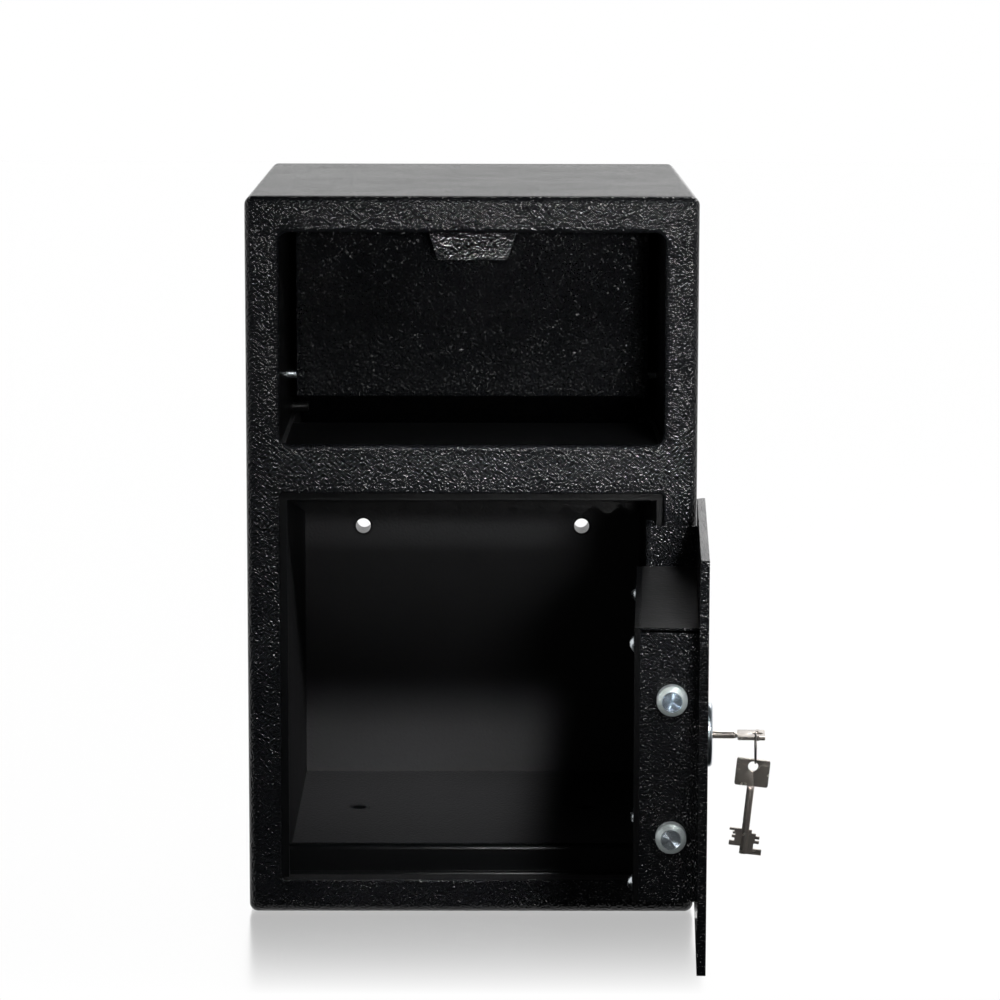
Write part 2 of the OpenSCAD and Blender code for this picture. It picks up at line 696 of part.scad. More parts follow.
// Brackets that carry the inner ends of the bolts
module bolt_guides() color(steel) in_door() for (z = bolt_z) {
  across(guide_x, guide_x + guide_t) difference() {
    pane(door_t, z - guide_half, bolt_y + guide_half, z + guide_half);
    translate([bolt_y, z]) circle(bolt_r + run_gap, $fn = fine);
  }
  block(guide_x + guide_t, door_t, z - guide_half, guide_x + 4 * guide_t, door_t + guide_t / 2, z + guide_half);
}

// Lock case, open towards the door
module lock_case() color(steel) in_door() difference() {
  block(lock_x - case_w / 2, door_t, lock_z - case_h / 2, lock_x + case_w / 2, case_y, lock_z + case_h / 2);
  block(lock_x - case_w / 2 + case_wall, door_t - 1, lock_z - case_h / 2 + case_wall,
        lock_x + case_w / 2 - case_wall, case_y - case_wall, lock_z + case_h / 2 - case_wall);
  translate([lock_x, 0, lock_z]) rod_y(hub_r + run_gap, case_y - case_wall - 1, case_y + 1);
}

module lever_post() color(zinc) in_door() translate([lever_x, 0, lever_z])
  rod_y(post_d / 2, door_t, case_y - case_wall);

// Lever pack: plates on one post, with an edge bowed round the sweep of the key
module lock_levers() color([0.7, 0.58, 0.3]) in_door() for (i = [0 : lever_count - 1]) {
  y = door_t + 2 + i * (lever_t + 0.8);
  slab(y, y + lever_t) difference() {
    union() {
      translate([lever_x, lever_z]) circle(lever_end_r, $fn = fine);
      pane(lever_x - lever_end_r, lever_z, lever_x + 3, lock_z + lever_rise - lever_end_r);
      pane(lock_x - 4, lock_z + lever_clear + 1, lever_x + 3, lock_z + lever_rise - i);
    }
    translate([lever_x, lever_z]) circle(post_d / 2, $fn = fine);
    translate([lock_x, lock_z]) circle(lever_clear, $fn = fine);
  }
}

module lock_screws() color(zinc) in_door()
  for (x = [-1, 1], z = [-1, 1]) translate([lock_x + x * (case_w / 2 + 5), 0, lock_z + z * (case_h / 2 - 8)]) {
    rod_y(5, door_t, door_t + 3);
    translate([-x * 3.5, 0, 0]) block(-1.5, door_t, -3, 1.5, door_t + 1.5, 3);
  }

// Escutcheon: a round plate with a soft rim and the keyhole
module escutcheon() color(nickel) in_door() difference() {
  translate([lock_x, 0, lock_z]) rotate([90, 0, 0]) rotate_extrude($fn = fine) {
    square([plate_d / 2 - plate_t / 2, plate_t]);
    square([plate_d / 2, plate_t / 2]);
    translate([plate_d / 2 - plate_t / 2, plate_t / 2]) circle(plate_t / 2, $fn = 48);
  }
  slab(-plate_t - 1, 1) keyhole();
}

// Locking bolts and what moves them
module locking_bolt(z) difference() {
  translate([bolt_x, bolt_y, z]) rotate([0, 90, 0]) rotate_extrude($fn = fine)
    polygon([[0, 0], [bolt_r - bolt_bevel, 0], [bolt_r, bolt_bevel], [bolt_r, bolt_len], [0, bolt_len]]);
  block(bar_x, bar_y, z - bolt_r, bar_x + bar_w, bolt_y + bolt_r + 1, z + bolt_r);
  translate([bar_x + bar_w / 2, 0, z]) rod_y(bar_screw_r, bolt_y, bar_y + 1);
}
module upper_bolt() color(zinc) in_door() locking_bolt(bolt_z[1]);
module lower_bolt() color(zinc) in_door() locking_bolt(bolt_z[0]);

module bolt_bar() color(steel) in_door() slab(bar_y, bar_y + bar_t) difference() {
  pane(bar_x, bolt_z[0] - 10, bar_x + bar_w, bolt_z[1] + 10);
  for (z = bolt_z) translate([bar_x + bar_w / 2, z]) circle(bar_screw_r, $fn = fine);
}

module bar_screws() color(zinc) in_door() for (z = bolt_z) translate([bar_x + bar_w / 2, 0, z]) {
  rod_y(bar_screw_r, bolt_y + 2, bar_y + bar_t);
  rod_y(bar_screw_r + 2, bar_y + bar_t, bar_y + bar_t + 2.6);
}

// Rack: its teeth point down to the gear, and a gap stands over the gear's top tooth
module rack_tooth() {
  half = gear_pitch / 4 - backlash / 2;
  low = 0.85 * gear_module;
  high = 1.25 * gear_module;
  polygon([[-half + low * tan(pressure), -low], [half - low * tan(pressure), -low],
           [half + high * tan(pressure), high + eps], [-half - high * tan(pressure), high + eps]]);
}
module bolt_rack() color(steel) in_door() slab(gear_y, gear_y + gear_t) {
  pane(bar_x + bar_w, rack_z + 1.25 * gear_module, rack_end, rack_z + rack_h);
  for (i = rack_teeth) translate([lock_x + (i + 0.5) * gear_pitch, rack_z]) rack_tooth();
}

// Drive gear with true involute flanks
function inv_angle(r) = tan(acos(gear_base / r)) * 180 / PI - acos(gear_base / r);
function flank_half(r) = (PI * gear_module / 2 - backlash) / (2 * gear_r) * 180 / PI
  + inv_angle(gear_r) - inv_angle(r);
module gear_outline() {
  start = max(gear_base, gear_root) + 0.02;
  steps = [for (k = [0 : 4]) start + (gear_tip - start) * k / 4];
  foot = gear_root * sin(flank_half(start));
  circle(gear_root, $fn = fine);
  for (i = [0 : gear_teeth - 1]) rotate(90 + i * 360 / gear_teeth)
    polygon(concat([[gear_root - 0.5, -foot]],
                   [for (r = steps) r * [cos(flank_half(r)), -sin(flank_half(r))]],
                   [for (k = [4 : -1 : 0]) steps[k] * [cos(flank_half(steps[k])), sin(flank_half(steps[k]))]],
                   [[gear_root - 0.5, foot]]));
}
module drive_gear() color(steel) in_door() slab(gear_y, gear_y + gear_t)
  translate([lock_x, lock_z]) gear_outline();

// Hub between the key's tip and the gear, with two pegs beside the bits
module drive_hub() color(steel) in_door() translate([lock_x, 0, lock_z]) {
  rod_y(hub_r, hub_y, gear_y);
  rod_y(bit_r + 1, hub_y - hub_disc_t, hub_y);
  for (turn = [0, 180]) rotate([0, turn, 0])
    block(6.5, hub_y - hub_disc_t - 4, bit_t / 2 + 0.1, 9.5, hub_y - hub_disc_t, bit_t / 2 + 2.6);
}

// A key, drawn with its hole at the origin, its bow in X and Z and its shaft pointing down
module key_form() {
  top = hole_in;
  bow_end = hole_in - bow_len;
  tip = bow_end - shaft_len;
  translate([0, bow_t / 2, 0]) rotate([90, 0, 0]) linear_extrude(bow_t) difference() {
    round_pane(-bow_w / 2, bow_end, bow_w / 2, top, 1.6);
    circle(d = bow_hole_d, $fn = fine);
  }
  difference() {
    translate([0, 0, tip]) cylinder(h = shaft_len + 1, d = shaft_d, $fn = fine);
    for (f = [0, 1]) mirror([0, f, 0]) translate([-shaft_d, 0, 0]) rotate([90, 0, 90]) linear_extrude(2 * shaft_d)
      polygon([[bow_t / 2, bow_end + 2], [bow_t / 2, bow_end], [shaft_d / 2 + eps, bow_end - flat_len],
               [shaft_d, bow_end - flat_len], [shaft_d, bow_end + 2]]);
  }
  for (s = [-1, 1], f = [-1, 1]) translate([s * 8.6, f * (bow_t / 2 + 0.2), 0]) cube([6.2, 0.6, 2.2], center = true);
  translate([0, bit_t / 2, tip]) rotate([90, 0, 0]) linear_extrude(bit_t) {
    for (b = bits_a) pane(0, b[0], bit_r - b[2], b[1] + eps);
    for (b = bits_b) pane(b[2] - bit_r, b[0], 0, b[1] + eps);
  }
}
module key() color(nickel) in_door() translate([lock_x, key_hole_y, lock_z]) rotate([90, 0, 0]) key_form();

module key_ring() color(zinc) in_door() translate([ring_x, ring_y, ring_z]) rotate([90, 0, 0])
  rotate_extrude($fn = fine) translate([ring_r, 0]) circle(d = ring_wire, $fn = 24);

// Spare key: it hangs on the ring's lowest point, square to the wire
module spare_key() color(nickel) in_door()
  translate([ring_x, ring_y + wire_side, ring_z - ring_r - wire_up]) rotate([spare_tilt, 0, 0])
    rotate([0, 0, -90]) key_form();

outer_shell();
back_panel();
door_stop();
door_sill();
liner_left();
liner_right();
liner_back();
liner_floor();
liner_ceiling();
recess_floor();
recess_side_left();
recess_side_right();
hinge_lugs();
pocket_wall();
hinge_pins();
hinge_washers();
back_sleeves();
floor_sleeves();
hopper_stops();
hopper_pins();
pin_clips();
hopper_panel();
pull_lip();
hopper_cheek_left();
hopper_cheek_right();
hopper_chute();
door_plate();
hinge_arm();
hinge_knuckles();
box_top();
box_bottom();
latch_plate();
bolt_cover();
cover_posts();
cover_screws();
bolt_guides();
lock_case();
lock_levers();
lever_post();
lock_screws();
escutcheon();
upper_bolt();
lower_bolt();
bolt_bar();
bolt_rack();
bar_screws();
drive_gear();
drive_hub();
key();
key_ring();
spare_key();
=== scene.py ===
# %% [markdown]
# # A deposit safe with a tilting drop hopper
# The real thing is a double-walled steel box. A hopper sits behind the window above, and a door with a key
# lock and two round locking bolts hangs below it. The measured solids come first. They are the frame that
# every piece here is built around, so nothing is fitted by eye afterwards.

# %% Load the measured frame
import bmesh
import bpy
import json
import math
from mathutils import Matrix, Vector


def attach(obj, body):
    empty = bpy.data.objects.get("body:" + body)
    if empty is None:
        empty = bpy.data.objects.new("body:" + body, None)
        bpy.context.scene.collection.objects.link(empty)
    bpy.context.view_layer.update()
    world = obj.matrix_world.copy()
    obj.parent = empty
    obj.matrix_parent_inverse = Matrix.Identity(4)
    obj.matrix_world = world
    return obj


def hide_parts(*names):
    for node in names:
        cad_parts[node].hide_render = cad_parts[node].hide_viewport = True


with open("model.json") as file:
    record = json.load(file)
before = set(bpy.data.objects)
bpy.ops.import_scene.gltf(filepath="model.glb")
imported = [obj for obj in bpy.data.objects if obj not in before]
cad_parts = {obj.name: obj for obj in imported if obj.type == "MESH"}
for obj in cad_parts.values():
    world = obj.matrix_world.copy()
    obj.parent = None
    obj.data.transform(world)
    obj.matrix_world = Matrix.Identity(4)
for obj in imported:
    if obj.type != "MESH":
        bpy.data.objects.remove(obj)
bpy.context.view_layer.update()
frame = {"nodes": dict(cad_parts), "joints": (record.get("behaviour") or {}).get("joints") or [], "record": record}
solids = frame["nodes"]
body_of = {n: b for b, names in frame["record"]["behaviour"]["bodies"].items() for n in names}
slot_of = {s["node"]: s["material_slot"] for s in frame["record"]["subparts"]}
MM = 0.001

# %% [markdown]
# ## The camera
# The photograph was taken from almost three metres away with a long lens, a little above the safe. A camera
# can be placed by eye, but here it was worked out from the corners of the body, so it is written as numbers:
# its place in metres, three angles in degrees, and the lens in millimetres.

# %% Place the camera
CAMERA_PLACE = (0.0057, -3.0945, 0.779)
CAMERA_DOWN, CAMERA_RIGHT, CAMERA_ROLL = 8.80, 0.32, 0.13
LENS_LONG, SENSOR_WIDE, SEEN_FAR = 136.3, 36, 50
scene = bpy.context.scene


def in_scene(name, data):
    """A new object in the scene, at the origin."""
    obj = bpy.data.objects.new(name, data)
    scene.collection.objects.link(obj)
    return obj


def turn_about(axis, degrees):
    return Matrix.Rotation(math.radians(degrees), 4, axis)


lens = bpy.data.cameras.new("camera")
lens.lens, lens.sensor_width, lens.clip_end = LENS_LONG, SENSOR_WIDE, SEEN_FAR
camera = in_scene("camera", lens)
aim = turn_about("Z", -CAMERA_RIGHT) @ turn_about("X", 90 - CAMERA_DOWN) @ turn_about("Z", CAMERA_ROLL)
camera.matrix_world = Matrix.Translation(CAMERA_PLACE) @ aim
bpy.context.scene.camera = camera
print("camera at", CAMERA_PLACE)

# %% [markdown]
# ## The studio
# The safe stands on a white, slightly glossy floor in front of a white backdrop. The backdrop is the world
# itself: white where the camera looks, but a weak fill where its light falls on things, so that the black
# coat stays black.

# %% Helpers that build node trees
def add(tree, kind, inputs=None, **settings):
    """One node. settings are its properties, and inputs its sockets by name or number."""
    node = tree.nodes.new(kind)
    for key, value in settings.items():
        setattr(node, key, value)
    for key, value in (inputs or {}).items():
        if isinstance(value, bpy.types.NodeSocket):
            tree.links.new(value, node.inputs[key])
        else:
            node.inputs[key].default_value = value
    return node


def maths(tree, operation, *values):
    return add(tree, "ShaderNodeMath", dict(enumerate(values)), operation=operation).outputs[0]


def between(tree, factor, at_0, at_1):
    """A number that goes from one value to another while the factor goes from 0 to 1."""
    return maths(tree, "MULTIPLY_ADD", factor, at_1 - at_0, at_0)


def blank(owner):
    """The emptied node tree of a material or a world."""
    owner.use_nodes = True
    owner.node_tree.nodes.clear()
    return owner.node_tree


def blank_material(name):
    material = bpy.data.materials.new(name)
    return material, blank(material)


def grey(level):
    """A colour without a tint: 0 is black and 1 is white."""
    return (level, level, level, 1)


# %% The world: a white backdrop and a plain fill
FILL = 0.2
scene.view_settings.view_transform = "Standard"
world = bpy.data.worlds.new("studio")
scene.world = world
tree = blank(world)


def seen_directly(tree):
    """1 for what is seen straight, mirrored or through glass, and 0 for light that falls on things."""
    path = add(tree, "ShaderNodeLightPath").outputs
    mirrored = maths(tree, "MAXIMUM", path["Is Glossy Ray"], path["Is Transmission Ray"])
    return maths(tree, "MAXIMUM", path["Is Camera Ray"], mirrored)


strength = between(tree, seen_directly(tree), FILL, 1.0)
sky = add(tree, "ShaderNodeBackground", {"Color": grey(1), "Strength": strength})
add(tree, "ShaderNodeOutputWorld", {0: sky.outputs[0]})
print("fill light", FILL)

# %% [markdown]
# ## The floor and the black cards
# The real floor mirrors the safe. That image is clear at the safe's foot and gone at the lower edge of the
# picture, so the shine fades with the distance in front of the safe. A black object takes its look from
# what it mirrors, so the photographer kept the camera's side of the studio dark. Black cards do that here.
# They lie and hang out of the picture. Only reflections see them, and these don't see the white floor.

# %% The white floor
FLOOR_HALF, FLOOR_WHITE, FLOOR_BLUR, FLOOR_SHINE = 9.0, 0.9, 0.2, 0.53
FADE_NEAR, FADE_FAR = -0.195, -0.42


def sheet_corners(half, near, far, near_up, far_up):
    """Four corners: a flat sheet where both heights are equal, an upright one where near equals far."""
    return [(-half, near, near_up), (half, near, near_up), (half, far, far_up), (-half, far, far_up)]


def panel(name, corners, material):
    """A sheet of the studio, which isn't a piece of the safe."""
    mesh = bpy.data.meshes.new(name)
    mesh.from_pydata(corners, [], [tuple(range(len(corners)))])
    mesh.materials.append(material)
    obj = in_scene(name, mesh)
    return obj


white_floor, tree = blank_material("white_floor")
paint = add(tree, "ShaderNodeBsdfDiffuse", {"Color": grey(FLOOR_WHITE)})
glow = add(tree, "ShaderNodeEmission", {"Color": grey(1), "Strength": 1.0})
ground = add(tree, "ShaderNodeMixShader", {0: seen_directly(tree), 1: paint.outputs[0], 2: glow.outputs[0]})
mirror = add(tree, "ShaderNodeBsdfGlossy", {"Color": grey(1), "Roughness": FLOOR_BLUR})
spot = add(tree, "ShaderNodeTexCoord").outputs["Object"]
depth = add(tree, "ShaderNodeSeparateXYZ", {0: spot}).outputs["Y"]
along = add(tree, "ShaderNodeMapRange", {0: depth, 1: FADE_NEAR, 2: FADE_FAR}).outputs[0]
shine = between(tree, maths(tree, "MULTIPLY", along, along), FLOOR_SHINE, 0.0)
both = add(tree, "ShaderNodeMixShader", {0: shine, 1: ground.outputs[0], 2: mirror.outputs[0]})
add(tree, "ShaderNodeOutputMaterial", {0: both.outputs[0]})
floor = panel("floor", sheet_corners(FLOOR_HALF, -FLOOR_HALF, FLOOR_HALF, 0, 0), white_floor)
floor.visible_glossy = False
print("floor shine", FLOOR_SHINE, "gone at", FADE_FAR)

# %% The black cards
FELT = 0.02
CARD_HALF, CARD_NEAR, CARD_FAR, CARD_BACK, CARD_LOW, CARD_HIGH = 6.0, -0.2, -4.5, 4.0, -0.002, 3.2
CARDS = {"card_floor": (CARD_FAR, CARD_NEAR, CARD_LOW, CARD_LOW),
         "card_front": (CARD_FAR, CARD_FAR, CARD_LOW, CARD_HIGH),
         "card_ceiling": (CARD_FAR, CARD_BACK, CARD_HIGH, CARD_HIGH)}
black_card, tree = blank_material("black_card")
felt = add(tree, "ShaderNodeBsdfDiffuse", {"Color": grey(FELT)})
add(tree, "ShaderNodeOutputMaterial", {0: felt.outputs[0]})
for name, place in CARDS.items():
    card = panel(name, sheet_corners(CARD_HALF, *place), black_card)
    card.visible_camera = card.visible_shadow = card.visible_diffuse = False
print("cards:", list(CARDS))

# %% [markdown]
# ## The lamps
# A low, narrow box stands near the camera. Most bumps of the coat face it, so it draws the sparkle, and its
# narrow beam lets the frame fade towards the floor. A high box on the right lights what faces up. One more
# shines down through the lower opening into the room, and a faint one lights the bolts, the lower one most.
# The last two stand on the left and behind, and keep other views from going black.

# %% Place the lamps
def soft_box(name, place, target, width, height, watts, spread=180):
    """A lamp that faces its target. Places and sizes are in metres, and spread is in degrees."""
    lamp = bpy.data.lights.new(name, "AREA")
    lamp.shape, lamp.size, lamp.size_y, lamp.energy = "RECTANGLE", width, height, watts
    lamp.spread = math.radians(spread)
    obj = in_scene(name, lamp)
    facing = (Vector(target) - Vector(place)).to_track_quat("-Z", "Y").to_matrix().to_4x4()
    obj.matrix_world = Matrix.Translation(place) @ facing


soft_box("main_box", (0.75, -1.7, 1.75), (0.1, -0.1, 0.45), width=0.5, height=0.4, watts=1.1, spread=50)
soft_box("front_box", (0.45, -2.6, 0.74), (0.13, -0.19, 0.63), width=0.3, height=0.16, watts=1.3, spread=22)
soft_box("room_box", (0.45, -2.0, 1.52), (-0.05, 0.16, -0.01), width=0.3, height=0.3, watts=0.74, spread=10)
soft_box("bolt_box", (-0.75, -2.6, 0.3), (0.19, -0.48, 0.11), width=0.2, height=0.12, watts=0.034, spread=9)
soft_box("left_box", (-1.9, -1.5, 1.3), (-0.05, -0.1, 0.35), width=0.8, height=1.2, watts=1.5)
soft_box("rear_box", (1.1, 2.2, 1.8), (0, 0.1, 0.3), width=1.2, height=1.2, watts=22)

# %% [markdown]
# ## The coats
# Powder coat is a dark resin skin with a hammered grain of one to two millimetres. Its colour hardly shows:
# what one sees is the light that each bump throws back. So the work goes into the bumps, made of noise and
# of small domes, and into a low reflectance, rather than into a colour. The coat isn't the same all over:
# the room is duller, and other parts are smoother. The lid, the pull lip and the top of the box are brighter,
# but that is painted light on faces that catch the lamps. So each kind has its own row in one table.

# %% Helpers that the finishes share
NOISE_LOW, NOISE_HIGH = 0.3, 0.7


def local(tree, centre=(0, 0, 0), turn=(0, 0, 0)):
    """Object coordinates, centred and turned."""
    spot = add(tree, "ShaderNodeTexCoord").outputs["Object"]
    shifted = add(tree, "ShaderNodeVectorMath", {0: spot, 1: centre}, operation="SUBTRACT").outputs[0]
    return add(tree, "ShaderNodeMapping", {"Vector": shifted, "Rotation": turn}).outputs[0]


def mixed(tree, factor, low, high):
    """A colour between two others, each of them three numbers or a socket."""
    low, high = (c if isinstance(c, bpy.types.NodeSocket) else (*c, 1) for c in (low, high))
    return add(tree, "ShaderNodeMix", {0: factor, 6: low, 7: high}, data_type="RGBA").outputs[2]


def wander(tree, cloud, low, high):
    """A number that wanders between two others, as a cloud of noise does."""
    limits = {1: NOISE_LOW, 2: NOISE_HIGH, 3: low, 4: high}
    return add(tree, "ShaderNodeMapRange", {0: cloud, **limits}).outputs[0]


def bumps(tree, height, depth, below=None, invert=False):
    """Bumps that stand depth metres high, on top of the bumps below them where there are any."""
    inputs = {"Strength": 1.0, "Distance": depth, "Height": height}
    if below is not None:
        inputs["Normal"] = below
    return add(tree, "ShaderNodeBump", inputs, invert=invert).outputs[0]


def end_material(tree, inputs):
    """Ends a material with one shader and its output."""
    skin = add(tree, "ShaderNodeBsdfPrincipled", inputs)
    add(tree, "ShaderNodeOutputMaterial", {0: skin.outputs[0]})


# %% Powder coats
PATCHES, PATCH_GLOSS = 14.0, 0.02


def powder_coat(name, low, high, grain, depth, domes, dome_depth, roughness, ior):
    """grain and domes are sizes in metres, and the depths are how high their bumps stand."""
    material, tree = blank_material(name)
    place = local(tree)
    noise = add(tree, "ShaderNodeTexNoise", {"Vector": place, "Scale": 1 / grain, "Detail": 0.0}).outputs[0]
    cells = add(tree, "ShaderNodeTexVoronoi", {"Vector": place, "Scale": 1 / domes}).outputs["Distance"]
    patches = add(tree, "ShaderNodeTexNoise", {"Vector": place, "Scale": PATCHES, "Detail": 2.0}).outputs[0]
    grained = bumps(tree, noise, depth)
    # The square of the distance from a cell's middle, upside down, is a dome.
    domed = bumps(tree, maths(tree, "POWER", cells, 2.0), dome_depth, grained, invert=True)
    rough = wander(tree, patches, roughness - PATCH_GLOSS, roughness + PATCH_GLOSS)
    end_material(tree, {"Roughness": rough, "IOR": ior, "Base Color": mixed(tree, patches, low, high),
                        "Normal": domed})
    return material


print("patches of", round(1 / PATCHES, 3), "metres")

# %% Each kind of coat
COATS = {
    "powder_coat": dict(low=(0.0025, 0.0027, 0.0032), high=(0.0045, 0.0048, 0.0055), grain=0.0015,
                        depth=0.00098, domes=0.0026, dome_depth=0.0002, roughness=0.09, ior=1.28),
    # The lid's coat is a lighter copy of the frame's: painted light on the top.
    "lid_lit_coat": dict(low=(0.006, 0.006, 0.006), high=(0.009, 0.009, 0.0088), grain=0.0017,
                     depth=0.0008, domes=0.0026, dome_depth=0.0002, roughness=0.2, ior=1.14),
    "hopper_coat": dict(low=(0.0012, 0.0013, 0.0016), high=(0.0025, 0.0028, 0.0032), grain=0.0021,
                        depth=0.0024, domes=0.0034, dome_depth=0.0004, roughness=0.08, ior=1.15),
    # The pull lip's coat is a lighter, shinier copy of the frame's: painted light on the lip.
    "lip_lit_coat": dict(low=(0.0045, 0.0048, 0.0055), high=(0.0065, 0.0069, 0.0078), grain=0.0017,
                     depth=0.0009, domes=0.0026, dome_depth=0.0002, roughness=0.13, ior=1.45),
    "inside_coat": dict(low=(0.016, 0.016, 0.0165), high=(0.021, 0.021, 0.022), grain=0.0020,
                        depth=0.0003, domes=0.0026, dome_depth=0.0002, roughness=0.5, ior=1.06),
    # The box top's coat is a lighter copy of the smooth coat: painted light on the top of the box.
    "box_top_lit_coat": dict(low=(0.009, 0.009, 0.0092), high=(0.012, 0.012, 0.0124), grain=0.0060,
                     depth=0.0001, domes=0.0030, dome_depth=0.0001, roughness=0.3, ior=1.25),
    "smooth_coat": dict(low=(0.0015, 0.0016, 0.0018), high=(0.0028, 0.003, 0.0032), grain=0.0040,
                        depth=0.0001, domes=0.0030, dome_depth=0.0001, roughness=0.3, ior=1.25)}
finish = {name: powder_coat(name, **coat) for name, coat in COATS.items()}
print("coats:", list(COATS))

# %% [markdown]
# ## The bright metal
# Zinc, nickel and chrome are plain metal shaders: a base colour, a roughness and very little else. A worked
# surface is never quite even, so a soft cloud of noise lets its colour and gloss wander a little.

# %% Metals
GLOSS_WANDER = 0.2


def metal(name, colour, roughness, grain=0.004, depth=0.00002, tint=0.85, metallic=1.0):
    """depth is how deep the unevenness goes, and tint how dark its hollows are."""
    material, tree = blank_material(name)
    place = local(tree)
    cloud = add(tree, "ShaderNodeTexNoise", {"Vector": place, "Scale": 1 / grain, "Detail": 3.0}).outputs[0]
    uneven = bumps(tree, cloud, depth)
    low = tuple(c * tint for c in colour)
    rough = wander(tree, cloud, roughness * (1 - GLOSS_WANDER), roughness * (1 + GLOSS_WANDER))
    end_material(tree, {"Metallic": metallic, "Roughness": rough,
                        "Base Color": mixed(tree, cloud, low, colour), "Normal": uneven})
    return material


METALS = {
    "zinc": dict(colour=(0.62, 0.67, 0.70), roughness=0.24),
    "bare_steel": dict(colour=(0.40, 0.40, 0.41), roughness=0.38, depth=0.00005),
    "ring_wire": dict(colour=(0.30, 0.28, 0.26), roughness=0.3),
    "nickel": dict(colour=(0.66, 0.60, 0.54), roughness=0.24, grain=0.006, depth=0.00003, metallic=0.85),
    "bright_chrome": dict(colour=(0.42, 0.47, 0.51), roughness=0.3, grain=0.02, depth=0.00001, tint=0.95),
    "lever_brass": dict(colour=(0.72, 0.56, 0.25), roughness=0.28)}
finish.update({name: metal(name, **kind) for name, kind in METALS.items()})
print("metals:", list(METALS))

# %% [markdown]
# ## The turned ends of the bolts
# What makes a turned bolt look turned is the fine rings that the lathe leaves on its end. They could be cut
# into the mesh, but that takes many tiny faces, so the finish makes them as waves round the bolt's own axis.
# That needs the axis's place on the open door, which the hinge gives.

# %% Where the pieces of the open door are
BODY_DEEP = 385 * MM
KEYHOLE = (-8, 0, 177.5)
hinge = next(j for j in frame["joints"] if j["name"] == "door_hinge")
DOOR_OPEN = -hinge["range_deg"][0]
hinge_place = Vector(hinge["pos_m"])
in_door = Matrix.Translation(hinge_place) @ turn_about("Z", DOOR_OPEN) @ Matrix.Translation(-hinge_place)


def door_place(x, y, z):
    """A place on the closed door in millimetres, counted from the front, as it lies on the open door."""
    return in_door @ Vector((x * MM, y * MM - BODY_DEEP / 2, z * MM))


print("door open by", round(DOOR_OPEN, 1), "degrees; its keyhole is at", door_place(*KEYHOLE))

# %% Zinc with lathe rings
BOLT_X, BOLT_Y, BOLT_Z = -132, 25.5, {"upper_bolt": 227.5, "lower_bolt": 127.5}
FACE_RADIUS, BEVEL_SOFT, RING_PITCH, RING_DEPTH = 7.3 * MM, 0.4 * MM, 1.0 * MM, 0.06 * MM
SMEARS, SMEAR_DARK = 260.0, 0.45
FACE_METAL, BEVEL_METAL, FACE_ROUGH, BEVEL_ROUGH = 0.8, 0.5, 0.2, 0.38


def turned_end(name, centre, face, bevel):
    """face and bevel are the colours of the flat end and of the rounded rim beside it. The rim's paler colour is a
    painted sheen.
    """
    material, tree = blank_material(name)
    straight = local(tree, centre, (0, 0, -math.radians(DOOR_OPEN)))
    across = add(tree, "ShaderNodeVectorMath", {0: straight, 1: (0, 1, 1)}, operation="MULTIPLY").outputs[0]
    reach = add(tree, "ShaderNodeVectorMath", {0: across}, operation="LENGTH").outputs["Value"]
    waves = maths(tree, "SINE", maths(tree, "MULTIPLY", reach, 2 * math.pi / RING_PITCH))
    smears = add(tree, "ShaderNodeTexNoise", {"Vector": straight, "Scale": SMEARS, "Detail": 3.0}).outputs[0]
    rings = bumps(tree, maths(tree, "ADD", waves, smears), RING_DEPTH)
    # outside is 1 on the rim. There the finish is rougher and less metallic, and the paler colour is painted
    # sheen.
    outside = add(tree, "ShaderNodeMapRange", {0: reach, 1: FACE_RADIUS - BEVEL_SOFT,
                                               2: FACE_RADIUS + BEVEL_SOFT}).outputs[0]
    worn = mixed(tree, smears, tuple(c * SMEAR_DARK for c in face), face)
    end_material(tree, {"Base Color": mixed(tree, outside, worn, bevel), "Normal": rings,
                        "Metallic": between(tree, outside, FACE_METAL, BEVEL_METAL),
                        "Roughness": between(tree, outside, FACE_ROUGH, BEVEL_ROUGH)})
    return material


# Each pair is the colour of the face and of the rim. The lower bolt's pair is a darker, greyer copy of the
# upper's: painted shade on the same zinc.
BOLT_COLOUR_AND_SHADE = {"upper_bolt": ((0.50, 0.62, 0.74), (0.60, 0.66, 0.66)),
               "lower_bolt": ((0.50, 0.57, 0.62), (0.56, 0.62, 0.62))}
bolt_finish = {n: turned_end("zinc_" + n, door_place(BOLT_X, BOLT_Y, z), *BOLT_COLOUR_AND_SHADE[n])
               for n, z in BOLT_Z.items()}
print("bolt ends:", [tuple(round(v, 4) for v in door_place(BOLT_X, BOLT_Y, z)) for z in BOLT_Z.values()])

# %% [markdown]
# ## Which finish goes where
# Every solid has a slot that names its finish. Some parts have another skin in the photograph than the slot
# says: the sheets round the hopper, the stop, the sill and the cover are smoother, and the top of the box
# and the pull lip have a coat of their own. Those two coats are lighter copies: painted light on faces that
# catch the lamps. The smoother coat is also darker, and on the recess floor under the hopper that darkness is
# painted shade. A short list names those. The solids get their finish first, and later the pieces that stand
# for them get the same one.

# %% Give every solid its finish
# The smooth coat is darker than the frame's. On the recess floor under the hopper, that darkness is painted shade.
SMOOTH = ("recess_floor", "recess_side_left", "recess_side_right", "liner_ceiling", "hopper_stops",
          "door_stop", "door_sill", "bolt_cover", "back_sleeves", "floor_sleeves")
COAT_OF = {**dict.fromkeys(SMOOTH, "smooth_coat"), "box_top": "box_top_lit_coat", "pull_lip": "lip_lit_coat"}


def finish_of(name):
    return bolt_finish.get(name) or finish[COAT_OF.get(name, slot_of[name])]


for name, solid in solids.items():
    solid.data.materials.clear()
    solid.data.materials.append(finish_of(name))
print("painted", len(solids), "solids")

